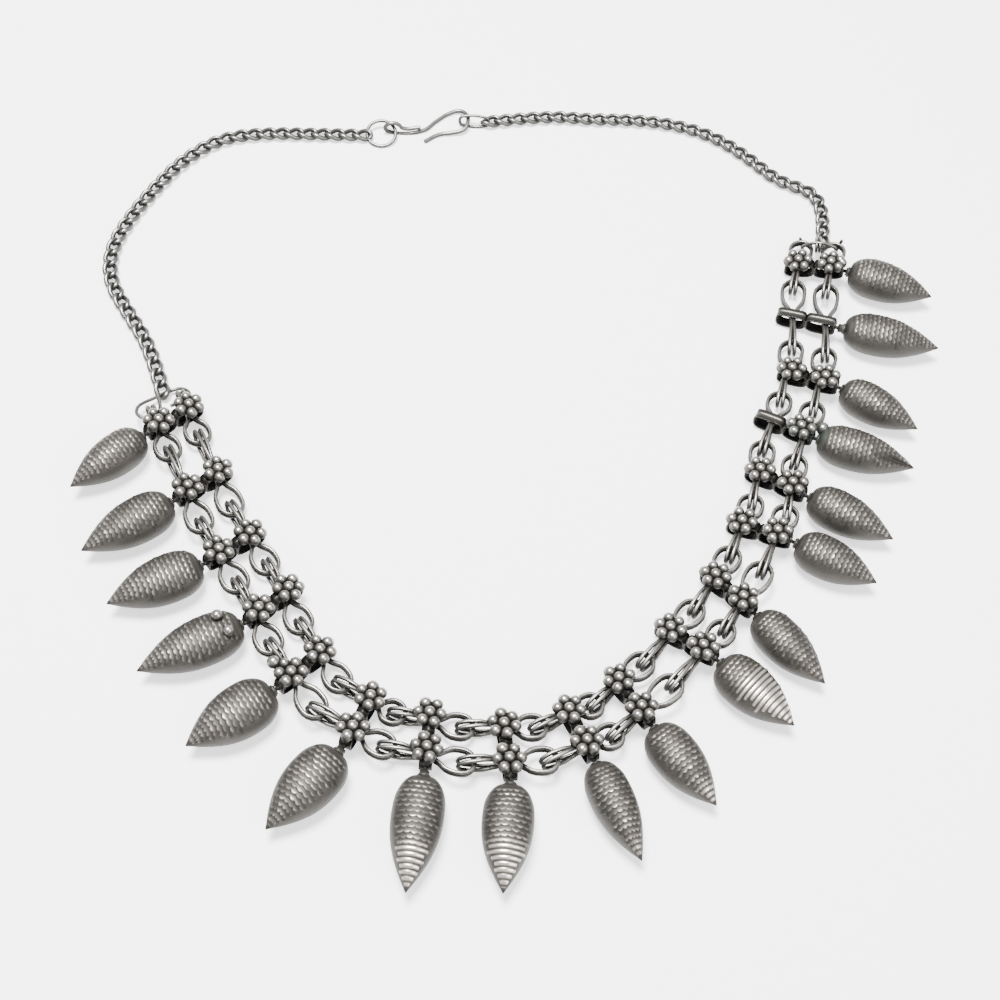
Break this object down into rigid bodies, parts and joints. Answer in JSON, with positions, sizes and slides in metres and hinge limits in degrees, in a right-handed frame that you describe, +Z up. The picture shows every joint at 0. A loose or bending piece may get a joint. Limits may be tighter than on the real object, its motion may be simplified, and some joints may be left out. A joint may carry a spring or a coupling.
{
  "type": "choker",
  "caption": "Oxidised silver choker lying closed: rows of folded wire links through granulated collars, pointed barley drops, curb back chains and a hook clasp.",
  "frame": {"origin": "middle of the choker's outline, on the surface that it lies on", "axes": "+Z up, +Y from the front drops to the clasp, +X to the right as it lies in the picture"},
  "size_m": [0.1524, 0.1626, 0.0066],
  "materials": {
    "drop_silver": "oxidised silver, pinkish grey on the high scales and nearly black in the recesses",
    "spacer_silver": "oxidised silver, bright on the granules' crowns and black between them",
    "link_silver": "oxidised silver wire, dull grey with dark edges",
    "chain_silver": "oxidised silver wire, mid grey with dark gaps",
    "clasp_silver": "oxidised silver wire, smooth grey"
  },
  "bodies": {
    "root": {"clasp_hook": "clasp_silver", "clasp_ring": "clasp_silver", "drop_01": "drop_silver", "drop_02": "drop_silver", "drop_03": "drop_silver", "drop_04": "drop_silver", "drop_05": "drop_silver", "drop_06": "drop_silver", "drop_07": "drop_silver", "drop_08": "drop_silver", "drop_09": "drop_silver", "drop_10": "drop_silver", "drop_11": "drop_silver", "drop_12": "drop_silver", "drop_13": "drop_silver", "drop_14": "drop_silver", "drop_15": "drop_silver", "drop_16": "drop_silver", "drop_17": "drop_silver", "drop_18": "drop_silver", "end_link": "clasp_silver", "inner_row": "link_silver", "left_chain": "chain_silver", "left_join": "link_silver", "outer_row": "link_silver", "right_chain": "chain_silver", "right_join": "link_silver", "right_rings": "link_silver", "spacer_01": "spacer_silver", "spacer_02": "spacer_silver", "spacer_03": "spacer_silver", "spacer_04": "spacer_silver", "spacer_05": "spacer_silver", "spacer_06": "spacer_silver", "spacer_07": "spacer_silver", "spacer_08": "spacer_silver", "spacer_09": "spacer_silver", "spacer_10": "spacer_silver", "spacer_11": "spacer_silver", "spacer_12": "spacer_silver", "spacer_13": "spacer_silver", "spacer_14": "spacer_silver", "spacer_15": "spacer_silver", "spacer_16": "spacer_silver", "spacer_17": "spacer_silver", "spacer_18": "spacer_silver"}
  },
  "joints": []
}
